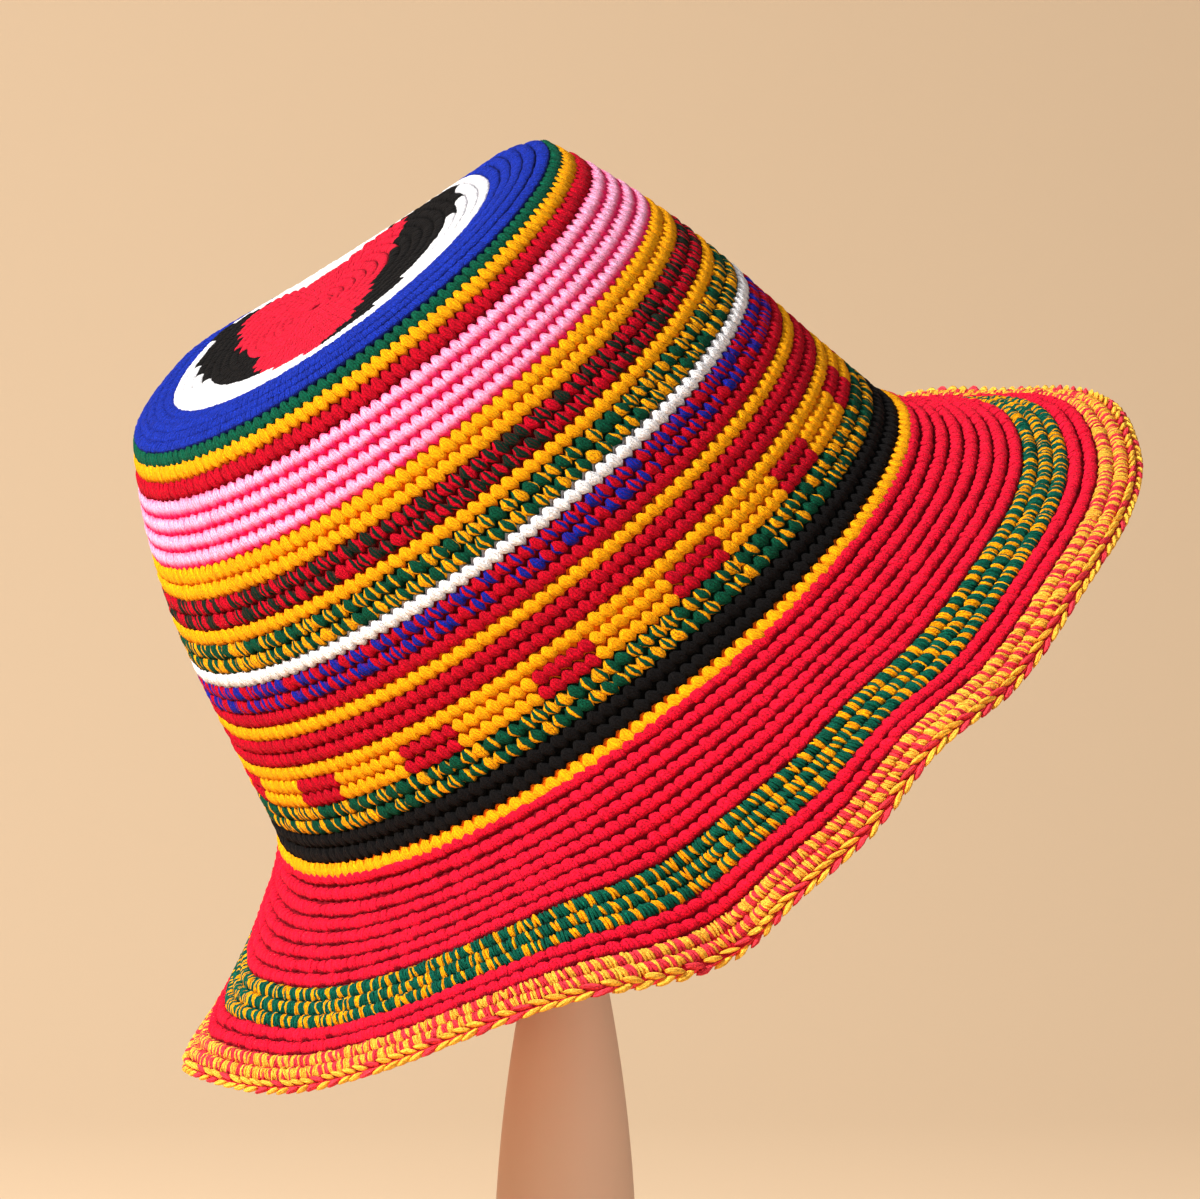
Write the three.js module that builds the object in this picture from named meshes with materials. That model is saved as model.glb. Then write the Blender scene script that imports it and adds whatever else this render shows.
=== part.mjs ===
import * as THREE from 'three';
import { mergeVertices } from 'three/addons/utils/BufferGeometryUtils.js';

// A crocheted wide brim hat on a plain turned wooden stand.
// Lengths are millimetres, angles are degrees, and +Z is up. The origin is the
// centre of the foot's underside.

// Crown. Its own +Z runs from the opening to the tip, and angle 0 is its right side
const CROWN_BASE_RADIUS = 94.9;
const CROWN_SIDE_LENGTH = 110.5;
const CROWN_SIDE_ANGLE = 11.6;
const CROWN_RIM_ANGLE = 31;
const CROWN_SHOULDER_LENGTH = 63.5;
const CROWN_WALL = 4.2;
const CROWN_BOW = 1.7;

// Tip, a little higher just inside its rim than at its centre, whose back slumps
const TIP_RISE = 2.3;
const SLUMP_DEPTH = 8.3;
const SLUMP_TURN = 18;

// Brim, of one constant width, which dips and lifts as it goes round
const BRIM_WIDTH = 58.7;
const BRIM_WALL = 3.6;
const BRIM_TURN_LENGTH = 14;
const BRIM_FLARE_ANGLE = 18;
const JUNCTION_ANGLE = 32;
const JUNCTION_CURVE_LENGTH = 8;
const EDGING_WIDTH = 11;

// How the hat hangs on its stand
const HAT_TILT = 36.2;
const HAT_NOD = 16;
const SEAM_GAP = 0.3;
const SEAT_CLEARANCE = 0.3;
const SEAT_TOLERANCE = 0.01;

// Stand
const STAND_HEIGHT = 345;
const POST_RADIUS = 17.6;
const POST_SHOULDER_START = 72;
const POST_SHOULDER_CURVE = 391;
const ROD_RADIUS = 9;
const FOOT_RADIUS = 75;
const FOOT_THICKNESS = 18;
const FOOT_EDGE_RADIUS = 6;
const TENON_RADIUS = 10;
const TENON_LENGTH = 12;
const TENON_CLEARANCE = 0.3;

// How finely the faces follow the curves
const CROWN_STEPS_AROUND = 60;
const CROWN_STEPS_ALONG = 8;
const BRIM_STEPS_AROUND = 96;
const BRIM_STEPS_ALONG = 7;
const EDGING_STEPS_ALONG = 2;
const PATH_STEPS = 120;
const NORMAL_REACH = 0.5;
const STAND_STEPS_AROUND = 36;
const STAND_CURVE_STEPS = 6;

// Where the post crosses the hat's opening, as shares of the crown's base radius
const POST_CROSSING = { x: -0.128, y: -0.273 };

// The slump's start and end, as shares of the rim's radius, measured square to its fold
const SLUMP_REACH = { start: 0.35, end: 1 };

// How the crown bows and rounds: the bow's half waves from base to rim, and the shoulder's power
const BOW_HALF_WAVES = 0.8;
const SHOULDER_POWER = 1.3;

// The mean of the flare over the brim's width, which is taken off so that the slope stays the mean
const FLARE_MEAN = 1 / 3;

// The tip's height above its rim, as shares of its rise, at shares of the rim's radius
const TIP_SECTIONS = [
  { reach: 0, rise: 0.45 },
  { reach: 0.2, rise: 0.52 },
  { reach: 0.4, rise: 0.58 },
  { reach: 0.62, rise: 0.68 },
  { reach: 0.78, rise: 0.92 },
  { reach: 0.875, rise: 1 },
  { reach: 0.94, rise: 0.58 },
  { reach: 1, rise: 0 },
];

// The brim's waves: its slope off the hat's axis, at angles round the hat
const BRIM_WAVES = [
  { at: -180, slope: 64 },
  { at: -165, slope: 73 },
  { at: -150, slope: 67 },
  { at: -135, slope: 66.5 },
  { at: -120, slope: 65.5 },
  { at: -110, slope: 57.5 },
  { at: -104, slope: 43 },
  { at: -98, slope: 28.5 },
  { at: -90, slope: 40.5 },
  { at: -80, slope: 45 },
  { at: -70, slope: 55.5 },
  { at: -58, slope: 50 },
  { at: -44, slope: 55 },
  { at: -30, slope: 53 },
  { at: -12, slope: 50 },
  { at: 4, slope: 54 },
  { at: 27, slope: 55 },
  { at: 40, slope: 61 },
  { at: 50, slope: 63 },
  { at: 68, slope: 59 },
  { at: 88, slope: 56 },
  { at: 106, slope: 56 },
  { at: 122, slope: 56.5 },
  { at: 136, slope: 54 },
  { at: 150, slope: 51.5 },
  { at: 165, slope: 55.5 },
  { at: 180, slope: 64 },
];

const radians = THREE.MathUtils.degToRad;

// 0 before the start, 1 after the end, and a smooth step between
function easing(value, start, end) {
  return THREE.MathUtils.smoothstep(value, start, end);
}

// A smooth curve through a table's rows. A closed table's last row repeats its first
function curveThrough(rows, place, height, closed) {
  const count = rows.length;
  const span = rows[count - 1][place] - rows[0][place];
  const row = (i) => {
    if (i >= 0 && i < count) return { at: rows[i][place], value: rows[i][height] };
    if (!closed) return row(THREE.MathUtils.clamp(i, 0, count - 1));
    const turn = i < 0 ? -1 : 1;
    const wrapped = rows[i - turn * (count - 1)];
    return { at: wrapped[place] + turn * span, value: wrapped[height] };
  };
  return (at) => {
    let i = 0;
    while (i < count - 2 && rows[i + 1][place] <= at) i++;
    const [before, low, high, after] = [row(i - 1), row(i), row(i + 1), row(i + 2)];
    const width = high.at - low.at;
    const t = (at - low.at) / width;
    const lowSlope = ((high.value - before.value) / (high.at - before.at)) * width;
    const highSlope = ((after.value - low.value) / (after.at - low.at)) * width;
    return (
      (2 * t ** 3 - 3 * t ** 2 + 1) * low.value +
      (t ** 3 - 2 * t ** 2 + t) * lowSlope +
      (3 * t ** 2 - 2 * t ** 3) * high.value +
      (t ** 3 - t ** 2) * highSlope
    );
  };
}

const waveSlope = curveThrough(BRIM_WAVES, 'at', 'slope', true);
const tipRise = curveThrough(TIP_SECTIONS, 'reach', 'rise', false);

// Walks a path whose lean off the axis is known all along, and returns its places
function walk(length, leanAt) {
  const step = length / PATH_STEPS;
  const places = [{ out: 0, along: 0 }];
  for (let i = 0; i < PATH_STEPS; i++) {
    const lean = radians(leanAt((i + 0.5) * step));
    const last = places[i];
    places.push({ out: last.out + Math.sin(lean) * step, along: last.along + Math.cos(lean) * step });
  }
  return (distance) => {
    const position = THREE.MathUtils.clamp(distance / step, 0, PATH_STEPS);
    const i = Math.min(Math.floor(position), PATH_STEPS - 1);
    const t = position - i;
    return {
      out: THREE.MathUtils.lerp(places[i].out, places[i + 1].out, t),
      along: THREE.MathUtils.lerp(places[i].along, places[i + 1].along, t),
    };
  };
}

// The crown's side, from the opening up to the rim
function crownLean(distance) {
  const base = (JUNCTION_ANGLE - CROWN_SIDE_ANGLE) * (1 - easing(distance, 0, JUNCTION_CURVE_LENGTH));
  const shoulderStart = CROWN_SIDE_LENGTH - CROWN_SHOULDER_LENGTH;
  const shoulder = Math.max(0, (distance - shoulderStart) / CROWN_SHOULDER_LENGTH);
  return CROWN_SIDE_ANGLE + base + (CROWN_RIM_ANGLE - CROWN_SIDE_ANGLE) * shoulder ** SHOULDER_POWER;
}

const crownPath = walk(CROWN_SIDE_LENGTH, crownLean);
const CROWN_HEIGHT = crownPath(CROWN_SIDE_LENGTH).along;
const RIM_RADIUS = CROWN_BASE_RADIUS - crownPath(CROWN_SIDE_LENGTH).out;

// The soft crown bows a little to one side, and its back slumps towards the tip
function relaxed(x, y, z) {
  const share = THREE.MathUtils.clamp(z / CROWN_HEIGHT, 0, 1);
  const turn = radians(SLUMP_TURN);
  const back = (x * Math.sin(turn) + y * Math.cos(turn)) / RIM_RADIUS;
  const slump = SLUMP_DEPTH * easing(back, SLUMP_REACH.start, SLUMP_REACH.end) * share ** 2;
  return new THREE.Vector3(x - CROWN_BOW * Math.sin(BOW_HALF_WAVES * Math.PI * share), y, z - slump);
}

// The crown's outside: its distance runs from 0 at the opening, past the rim, to the tip's centre
function crownPoint(distance, angle) {
  const inward = Math.max(0, distance - CROWN_SIDE_LENGTH);
  const place = crownPath(distance);
  const radius = CROWN_BASE_RADIUS - place.out - inward;
  const height = place.along + TIP_RISE * tipRise(1 - inward / RIM_RADIUS);
  return relaxed(radius * Math.cos(angle), radius * Math.sin(angle), height);
}

// The brim's path from the crown's base out to its edge, at one angle
function brimPath(angle) {
  const turns = THREE.MathUtils.radToDeg(angle);
  const slope = waveSlope(THREE.MathUtils.euclideanModulo(turns + 180, 360) - 180);
  return walk(BRIM_WIDTH, (distance) => {
    const turned = easing(distance, 0, BRIM_TURN_LENGTH);
    const flare = BRIM_FLARE_ANGLE * ((distance / BRIM_WIDTH) ** 2 - turned * FLARE_MEAN);
    return JUNCTION_ANGLE + (slope - JUNCTION_ANGLE) * turned + flare;
  });
}

// The hat's outside: below 0 the distance runs down the brim
function hatPoint(distance, angle) {
  if (distance >= 0) return crownPoint(distance, angle);
  const place = brimPath(angle)(-distance);
  const radius = CROWN_BASE_RADIUS + place.out;
  return new THREE.Vector3(radius * Math.cos(angle), radius * Math.sin(angle), -place.along);
}

function outwardNormal(distance, angle) {
  const low = Math.max(distance - NORMAL_REACH, -BRIM_WIDTH);
  const along = hatPoint(distance + NORMAL_REACH, angle).sub(hatPoint(low, angle));
  const turn = NORMAL_REACH / CROWN_BASE_RADIUS;
  const around = hatPoint(distance, angle + turn).sub(hatPoint(distance, angle - turn));
  return around.cross(along).normalize();
}

// A closed body from sections round the hat, each a closed loop of points.
// Points that meet, as at a pole, become one, and faces without area are dropped
function bodyFromSections(sections) {
  const around = sections.length;
  const along = sections[0].length;
  const faces = [];
  for (let i = 0; i < around; i++) {
    for (let j = 0; j < along; j++) {
      const next = ((i + 1) % around) * along;
      const after = (j + 1) % along;
      faces.push(i * along + j, next + j, next + after);
      faces.push(i * along + j, next + after, i * along + after);
    }
  }
  const raw = new THREE.BufferGeometry();
  const places = sections.flat().flatMap((point) => point.toArray());
  raw.setAttribute('position', new THREE.Float32BufferAttribute(places, 3));
  raw.setIndex(faces);
  const body = mergeVertices(raw);
  const merged = Array.from(body.index.array);
  const kept = [];
  for (let i = 0; i < merged.length; i += 3) {
    const [a, b, c] = merged.slice(i, i + 3);
    if (a !== b && b !== c && c !== a) kept.push(a, b, c);
  }
  body.setIndex(kept);
  body.computeVertexNormals();
  return body;
}

// A piece of the hat's wall, between two seams. Its end faces lie square to the
// surface at the seam, so neighbours keep an even gap through the whole wall
function wallBetween({ stations, startGap, endGap, stepsAround, wall }) {
  const start = stations[0] + startGap;
  const end = stations[stations.length - 1] - endGap;
  const sections = [];
  for (let i = 0; i < stepsAround; i++) {
    const angle = (2 * Math.PI * i) / stepsAround;
    const outside = [];
    const inside = [];
    for (const station of stations) {
      const point = hatPoint(THREE.MathUtils.clamp(station, start, end), angle);
      const depth = outwardNormal(station, angle).multiplyScalar(wall);
      outside.push(point);
      inside.unshift(point.clone().sub(depth));
    }
    sections.push([...outside, ...inside]);
  }
  return bodyFromSections(sections);
}

function evenStations(from, to, steps) {
  return Array.from({ length: steps + 1 }, (_, i) => THREE.MathUtils.lerp(from, to, i / steps));
}

// The tip closes on its centre, where every section shares one outside and one inside point
function tipBody() {
  const centre = crownPoint(CROWN_SIDE_LENGTH + RIM_RADIUS, 0);
  const sunken = centre.clone().setZ(centre.z - CROWN_WALL);
  const rings = TIP_SECTIONS.filter((row) => row.reach > 0).reverse();
  const sections = [];
  for (let i = 0; i < CROWN_STEPS_AROUND; i++) {
    const angle = (2 * Math.PI * i) / CROWN_STEPS_AROUND;
    const outside = [];
    const inside = [];
    for (const ring of rings) {
      const station = CROWN_SIDE_LENGTH + RIM_RADIUS * (1 - ring.reach);
      const point = crownPoint(Math.max(station, CROWN_SIDE_LENGTH + SEAM_GAP), angle);
      const depth = outwardNormal(station, angle).multiplyScalar(CROWN_WALL);
      outside.push(point);
      inside.unshift(point.clone().sub(depth));
    }
    sections.push([...outside, centre.clone(), sunken.clone(), ...inside]);
  }
  return bodyFromSections(sections);
}

function crownSideBody() {
  return wallBetween({
    stations: evenStations(0, CROWN_SIDE_LENGTH, CROWN_STEPS_ALONG),
    startGap: SEAM_GAP,
    endGap: 0,
    stepsAround: CROWN_STEPS_AROUND,
    wall: CROWN_WALL,
  });
}

function brimBody() {
  return wallBetween({
    stations: evenStations(EDGING_WIDTH - BRIM_WIDTH, 0, BRIM_STEPS_ALONG),
    startGap: SEAM_GAP,
    endGap: 0,
    stepsAround: BRIM_STEPS_AROUND,
    wall: BRIM_WALL,
  });
}

function edgingBody() {
  return wallBetween({
    stations: evenStations(-BRIM_WIDTH, EDGING_WIDTH - BRIM_WIDTH, EDGING_STEPS_ALONG),
    startGap: 0,
    endGap: 0,
    stepsAround: BRIM_STEPS_AROUND,
    wall: BRIM_WALL,
  });
}

// A quarter round in a turned profile, from one angle to another
function roundedCorner(radius, height, size, fromAngle, toAngle) {
  const arc = [];
  for (let i = 0; i <= STAND_CURVE_STEPS; i++) {
    const angle = radians(THREE.MathUtils.lerp(fromAngle, toAngle, i / STAND_CURVE_STEPS));
    arc.push(new THREE.Vector2(radius + size * Math.cos(angle), height + size * Math.sin(angle)));
  }
  return arc;
}

// Turns a profile of (radius, height) points, which starts and ends on the axis
function turned(profile) {
  const body = new THREE.LatheGeometry(profile, STAND_STEPS_AROUND);
  return body.rotateX(Math.PI / 2);
}

// The post: a tenon, a plain shaft, a long curved shoulder and a slim round-ended rod
function postBody() {
  const foot = FOOT_THICKNESS + TENON_CLEARANCE;
  const shoulderLength = Math.sqrt(2 * POST_SHOULDER_CURVE * (POST_RADIUS - ROD_RADIUS));
  const profile = [
    new THREE.Vector2(0, FOOT_THICKNESS - TENON_LENGTH),
    new THREE.Vector2(TENON_RADIUS, FOOT_THICKNESS - TENON_LENGTH),
    new THREE.Vector2(TENON_RADIUS, foot),
    new THREE.Vector2(POST_RADIUS, foot),
  ];
  for (let i = 0; i <= STAND_CURVE_STEPS; i++) {
    const rise = (shoulderLength * i) / STAND_CURVE_STEPS;
    const radius = POST_RADIUS - rise ** 2 / (2 * POST_SHOULDER_CURVE);
    profile.push(new THREE.Vector2(radius, POST_SHOULDER_START + rise));
  }
  const dome = roundedCorner(0, STAND_HEIGHT - ROD_RADIUS, ROD_RADIUS, 0, 90);
  dome[dome.length - 1].x = 0;
  return turned([...profile, ...dome]);
}

// The foot: a thick disc with a rounded top edge and a blind socket for the tenon
function footBody() {
  const socketRadius = TENON_RADIUS + TENON_CLEARANCE;
  const socketFloor = FOOT_THICKNESS - TENON_LENGTH - TENON_CLEARANCE;
  const edge = FOOT_RADIUS - FOOT_EDGE_RADIUS;
  return turned([
    new THREE.Vector2(0, 0),
    new THREE.Vector2(FOOT_RADIUS, 0),
    ...roundedCorner(edge, FOOT_THICKNESS - FOOT_EDGE_RADIUS, FOOT_EDGE_RADIUS, 0, 90),
    new THREE.Vector2(socketRadius, FOOT_THICKNESS),
    new THREE.Vector2(socketRadius, socketFloor),
    new THREE.Vector2(0, socketFloor),
  ]);
}

// Where the rod's round end comes to rest when it slides up into the hat: each move
// is as long as the clear distance around it, so it stops against the inside
function seatInside(hatWalls, direction) {
  const end = new THREE.Vector3(POST_CROSSING.x, POST_CROSSING.y, 0).multiplyScalar(CROWN_BASE_RADIUS);
  const nearest = new THREE.Vector3();
  const faces = hatWalls.flatMap(trianglesOf);
  let clear = Infinity;
  while (clear > SEAT_TOLERANCE) {
    const gaps = faces.map((face) => face.closestPointToPoint(end, nearest).distanceTo(end));
    clear = Math.min(...gaps) - ROD_RADIUS - SEAT_CLEARANCE;
    end.addScaledVector(direction, clear);
  }
  return end;
}

function trianglesOf(geometry) {
  const places = geometry.getAttribute('position');
  const corners = geometry.index.array;
  const faces = [];
  for (let i = 0; i < corners.length; i += 3) {
    const face = new THREE.Triangle();
    faces.push(face.setFromAttributeAndIndices(places, corners[i], corners[i + 1], corners[i + 2]));
  }
  return faces;
}

function material(color, roughness) {
  return new THREE.MeshStandardMaterial({ color, roughness, metalness: 0 });
}

function piece(name, geometry, finish) {
  const mesh = new THREE.Mesh(geometry, finish);
  mesh.name = name;
  return mesh;
}

const yarnBlue = material(0x1937c8, 0.9);
const yarnRed = material(0xc8142d, 0.9);
const yarnYellow = material(0xffb914, 0.9);
const paleWood = material(0xcfae94, 0.55);

const tip = tipBody();
const side = crownSideBody();

// The hat tilts to its left and nods to the front, and hangs on the rod's end
const hat = new THREE.Group();
hat.add(piece('crown_tip', tip, yarnBlue));
hat.add(piece('crown_side', side, yarnRed));
hat.add(piece('brim', brimBody(), yarnRed));
hat.add(piece('brim_edging', edgingBody(), yarnYellow));
hat.rotation.set(radians(HAT_NOD), -radians(HAT_TILT), 0, 'YXZ');

const upInHat = new THREE.Vector3(0, 0, 1).applyQuaternion(hat.quaternion.clone().invert());
const seat = seatInside([tip, side], upInHat).applyQuaternion(hat.quaternion);
hat.position.set(0, 0, STAND_HEIGHT - ROD_RADIUS).sub(seat);

const group = new THREE.Group();
group.add(hat);
group.add(piece('stand_post', postBody(), paleWood));
group.add(piece('stand_foot', footBody(), paleWood));

export default group;
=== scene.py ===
"""A crocheted wide brim hat on a plain turned wooden stand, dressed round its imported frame.

The hat is built stitch by stitch. One smooth surface gives every crochet round its
path, and Geometry Nodes set a plump stitch on each of the round's points. Closed
backing walls carry the stitches and show the wrong side of the work inside the hat.
Everything is in metres, in the frame's own axes.
"""

import logging
import math
from dataclasses import dataclass, replace
from enum import Enum
from functools import cache, reduce
from typing import Callable, Optional, Sequence

import bpy
import numpy as np
from mathutils import Euler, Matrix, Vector


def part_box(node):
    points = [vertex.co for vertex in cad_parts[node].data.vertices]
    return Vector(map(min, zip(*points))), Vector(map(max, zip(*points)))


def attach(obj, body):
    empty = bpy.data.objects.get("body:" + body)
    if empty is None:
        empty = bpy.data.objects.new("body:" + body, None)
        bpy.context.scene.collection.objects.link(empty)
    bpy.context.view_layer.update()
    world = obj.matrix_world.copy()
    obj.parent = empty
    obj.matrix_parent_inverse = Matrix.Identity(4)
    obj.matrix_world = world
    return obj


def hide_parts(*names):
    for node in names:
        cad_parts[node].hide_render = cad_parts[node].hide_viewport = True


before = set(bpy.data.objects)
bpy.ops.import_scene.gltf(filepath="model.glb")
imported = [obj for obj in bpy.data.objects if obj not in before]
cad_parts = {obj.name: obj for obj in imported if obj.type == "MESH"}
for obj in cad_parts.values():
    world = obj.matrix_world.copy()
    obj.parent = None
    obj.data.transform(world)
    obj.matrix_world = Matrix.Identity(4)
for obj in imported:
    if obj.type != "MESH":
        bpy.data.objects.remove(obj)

LOG = logging.getLogger("hat")
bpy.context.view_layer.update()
BODY = "root"

Color = tuple[float, float, float]
Material = bpy.types.Material
Mesh = bpy.types.Mesh
Node = bpy.types.Node
Object = bpy.types.Object
Socket = bpy.types.NodeSocket


class Build(Enum):
    """How a stitch is shaped."""

    PLUMP = "plump"
    FLAT = "flat"
    CORDED = "corded"
    STRAND = "strand"
    LEG = "leg"
    WRONG_SIDE = "wrong side"


class Wall(Enum):
    """Which face of the fabric a round lies on."""

    OUTSIDE = "outside"
    INSIDE = "inside"


def easing(value: np.ndarray, start: float, end: float) -> np.ndarray:
    """A smooth step from 0 at the start to 1 at the end."""
    t = np.clip((value - start) / (end - start), 0, 1)
    return t * t * (3 - 2 * t)


def curve_through(rows: Sequence[tuple[float, float]], at: np.ndarray, closed: bool) -> np.ndarray:
    """Follows a smooth curve through a table's rows.

    Args:
        rows: (place, height) pairs in rising order. A closed table's last row repeats its first.
        at: the places to read.
        closed: whether the curve goes on from its last row to its first.

    Returns:
        The height at each place.
    """
    places = np.array([row[0] for row in rows], float)
    heights = np.array([row[1] for row in rows], float)
    span = places[-1] - places[0]
    if closed:
        places = np.concatenate([[places[-2] - span], places, [places[1] + span]])
        heights = np.concatenate([[heights[-2]], heights, [heights[1]]])
    else:
        places = np.concatenate([[places[0]], places, [places[-1]]])
        heights = np.concatenate([[heights[0]], heights, [heights[-1]]])
    i = np.clip(np.searchsorted(places[1:-1], at, side="right"), 1, len(rows) - 1)
    width = places[i + 1] - places[i]
    t = (at - places[i]) / width
    low = (heights[i + 1] - heights[i - 1]) / (places[i + 1] - places[i - 1]) * width
    high = (heights[i + 2] - heights[i]) / (places[i + 2] - places[i]) * width
    return (
        (2 * t**3 - 3 * t**2 + 1) * heights[i]
        + (t**3 - 2 * t**2 + t) * low
        + (3 * t**2 - 2 * t**3) * heights[i + 1]
        + (t**3 - t**2) * high
    )


@dataclass
class HatSurface:
    """The fabric's outside: distances run from 0 at the opening up to the tip, and below 0 down the brim."""

    base_radius: float = 0.0949
    side_length: float = 0.1105
    side_angle: float = 11.6
    rim_angle: float = 31.0
    shoulder_length: float = 0.0635
    shoulder_power: float = 1.3
    bow: float = 0.0017
    bow_half_waves: float = 0.8
    tip_rise: float = 0.0023
    tip_centre_shift: float = 0.007
    slump_depth: float = 0.0083
    slump_turn: float = 18.0
    slump_start: float = 0.35
    brim_width: float = 0.0587
    brim_turn_length: float = 0.014
    brim_flare_angle: float = 18.0
    junction_angle: float = 32.0
    junction_curve_length: float = 0.008
    tilt: float = 36.2
    nod: float = 16.0
    crown_wall: float = 0.0042
    brim_wall: float = 0.0036
    seam_gap: float = 0.0003
    path_steps: int = 120
    reach: float = 0.0005
    cad_steps_around: int = 60
    cad_steps_along: int = 8

    TIP_SECTIONS = (
        (0, 0.45), (0.2, 0.52), (0.4, 0.58), (0.62, 0.68), (0.78, 0.92), (0.875, 1), (0.94, 0.58), (1, 0),
    )
    BRIM_WAVES = (
        (-180, 64), (-165, 73), (-150, 67), (-135, 66.5), (-120, 65.5), (-110, 57.5), (-104, 43),
        (-98, 28.5), (-90, 40.5), (-80, 45), (-70, 55.5), (-58, 50), (-44, 55), (-30, 53),
        (-12, 50), (4, 54), (27, 55), (40, 61), (50, 63), (68, 59), (88, 56), (106, 56),
        (122, 56.5), (136, 54), (150, 51.5), (165, 55.5), (180, 64),
    )

    def __post_init__(self) -> None:
        """Walks the crown's side once and finds how the hat hangs."""
        step = self.side_length / self.path_steps
        middles = (np.arange(self.path_steps) + 0.5) * step
        leans = np.radians(self.crown_lean(middles))
        self.walked = np.arange(self.path_steps + 1) * step
        self.inward = np.concatenate([[0], np.cumsum(np.sin(leans) * step)])
        self.upward = np.concatenate([[0], np.cumsum(np.cos(leans) * step)])
        self.rim_radius = self.base_radius - self.inward[-1]
        self.height = self.upward[-1]
        turn = Euler((0, -math.radians(self.tilt), 0)).to_matrix()
        self.rotation = np.array(turn @ Euler((math.radians(self.nod), 0, 0)).to_matrix())
        self.origin = self.hanging_place()

    def crown_lean(self, distance: np.ndarray) -> np.ndarray:
        """Measures the side's lean off the hat's axis.

        Args:
            distance: the distances up from the opening.

        Returns:
            The leans in degrees.
        """
        base = (self.junction_angle - self.side_angle) * (1 - easing(distance, 0, self.junction_curve_length))
        shoulder_start = self.side_length - self.shoulder_length
        shoulder = np.maximum(0, (distance - shoulder_start) / self.shoulder_length)
        return self.side_angle + base + (self.rim_angle - self.side_angle) * shoulder**self.shoulder_power

    def hanging_place(self) -> np.ndarray:
        """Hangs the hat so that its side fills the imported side's box.

        Returns:
            The place of the hat's own origin.
        """
        stations = np.linspace(0, self.side_length, self.cad_steps_along + 1)
        stations[0] = self.seam_gap
        angles = 2 * np.pi * np.arange(self.cad_steps_around) / self.cad_steps_around
        sides = np.concatenate([self.own_point(station, angles) for station in stations]) @ self.rotation.T
        low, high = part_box("crown_side")
        return ((np.array(low) - sides.min(0)) + (np.array(high) - sides.max(0))) / 2

    def relaxed(self, x: np.ndarray, y: np.ndarray, z: np.ndarray) -> np.ndarray:
        """Bows the soft crown to one side and lets its back slump.

        Args:
            x: the stiff crown's places to the side.
            y: its places to the back.
            z: its heights.

        Returns:
            The soft crown's points.
        """
        share = np.clip(z / self.height, 0, 1)
        turn = math.radians(self.slump_turn)
        back = (x * math.sin(turn) + y * math.cos(turn)) / self.rim_radius
        slump = self.slump_depth * easing(back, self.slump_start, 1) * share**2
        bow = self.bow * np.sin(self.bow_half_waves * np.pi * share)
        return np.stack([x - bow, y, z - slump], -1)

    def crown_point(self, distance: float, angles: np.ndarray) -> np.ndarray:
        """Finds the crown's outside. Past the rim the rounds draw in to the tip's shifted centre.

        Args:
            distance: how far up from the opening the round lies.
            angles: the places round it.

        Returns:
            The points in the hat's own axes.
        """
        past = max(0.0, distance - self.side_length)
        if past == 0:
            radius = self.base_radius - np.interp(distance, self.walked, self.inward)
            height = np.full_like(angles, np.interp(distance, self.walked, self.upward))
            return self.relaxed(radius * np.cos(angles), radius * np.sin(angles), height)
        radius = self.rim_radius - past
        shift = self.tip_centre_shift * (1 - radius / self.rim_radius)
        x = radius * np.cos(angles) - shift
        y = radius * np.sin(angles)
        share = np.clip(np.hypot(x, y) / self.rim_radius, 0, 1)
        rise = self.tip_rise * curve_through(self.TIP_SECTIONS, share, False)
        return self.relaxed(x, y, self.height + rise)

    def brim_point(self, distance: float, angles: np.ndarray) -> np.ndarray:
        """Finds the brim's outside.

        Args:
            distance: how far out from the opening the round lies.
            angles: the places round it.

        Returns:
            The points in the hat's own axes.
        """
        turns = (np.degrees(angles) + 180) % 360 - 180
        slope = curve_through(self.BRIM_WAVES, turns, True)
        step = self.brim_width / self.path_steps
        steps = distance / step
        out = np.zeros_like(angles)
        down = np.zeros_like(angles)
        for i in range(math.ceil(steps)):
            length = step * min(1.0, steps - i)
            at = (i + 0.5) * step
            turned = easing(at, 0, self.brim_turn_length)
            flare = self.brim_flare_angle * ((at / self.brim_width) ** 2 - turned / 3)
            lean = np.radians(self.junction_angle + (slope - self.junction_angle) * turned + flare)
            out += np.sin(lean) * length
            down += np.cos(lean) * length
        radius = self.base_radius + out
        return np.stack([radius * np.cos(angles), radius * np.sin(angles), -down], -1)

    def own_point(self, distance: float, angles: np.ndarray) -> np.ndarray:
        """Points of the outside in the hat's own axes."""
        return self.crown_point(distance, angles) if distance >= 0 else self.brim_point(-distance, angles)

    def frames(self, distance: float, angles: np.ndarray) -> tuple[np.ndarray, np.ndarray, np.ndarray]:
        """Where a round's stitches sit and which way they face, in the frame's axes.

        Args:
            distance: the round's place on the surface.
            angles: one angle for each stitch, in radians.

        Returns:
            The points, the directions along the round and the outward normals.
        """
        low = max(distance - self.reach, -self.brim_width)
        high = min(distance + self.reach, self.side_length + self.rim_radius)
        turn = self.reach / self.base_radius
        points = self.own_point(distance, angles)
        along = self.own_point(distance, angles + turn) - self.own_point(distance, angles - turn)
        up = self.own_point(high, angles) - self.own_point(low, angles)
        normals = np.cross(along, up)
        along /= np.linalg.norm(along, axis=1)[:, None]
        normals /= np.linalg.norm(normals, axis=1)[:, None]
        return points @ self.rotation.T + self.origin, along @ self.rotation.T, normals @ self.rotation.T


@dataclass
class Round:
    """One round of stitches."""

    distance: float
    height: float
    count: int
    phase: float = 0.0

    def angles(self) -> np.ndarray:
        """The angle of each stitch, in radians."""
        return 2 * np.pi * (np.arange(self.count) + self.phase) / self.count


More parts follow.
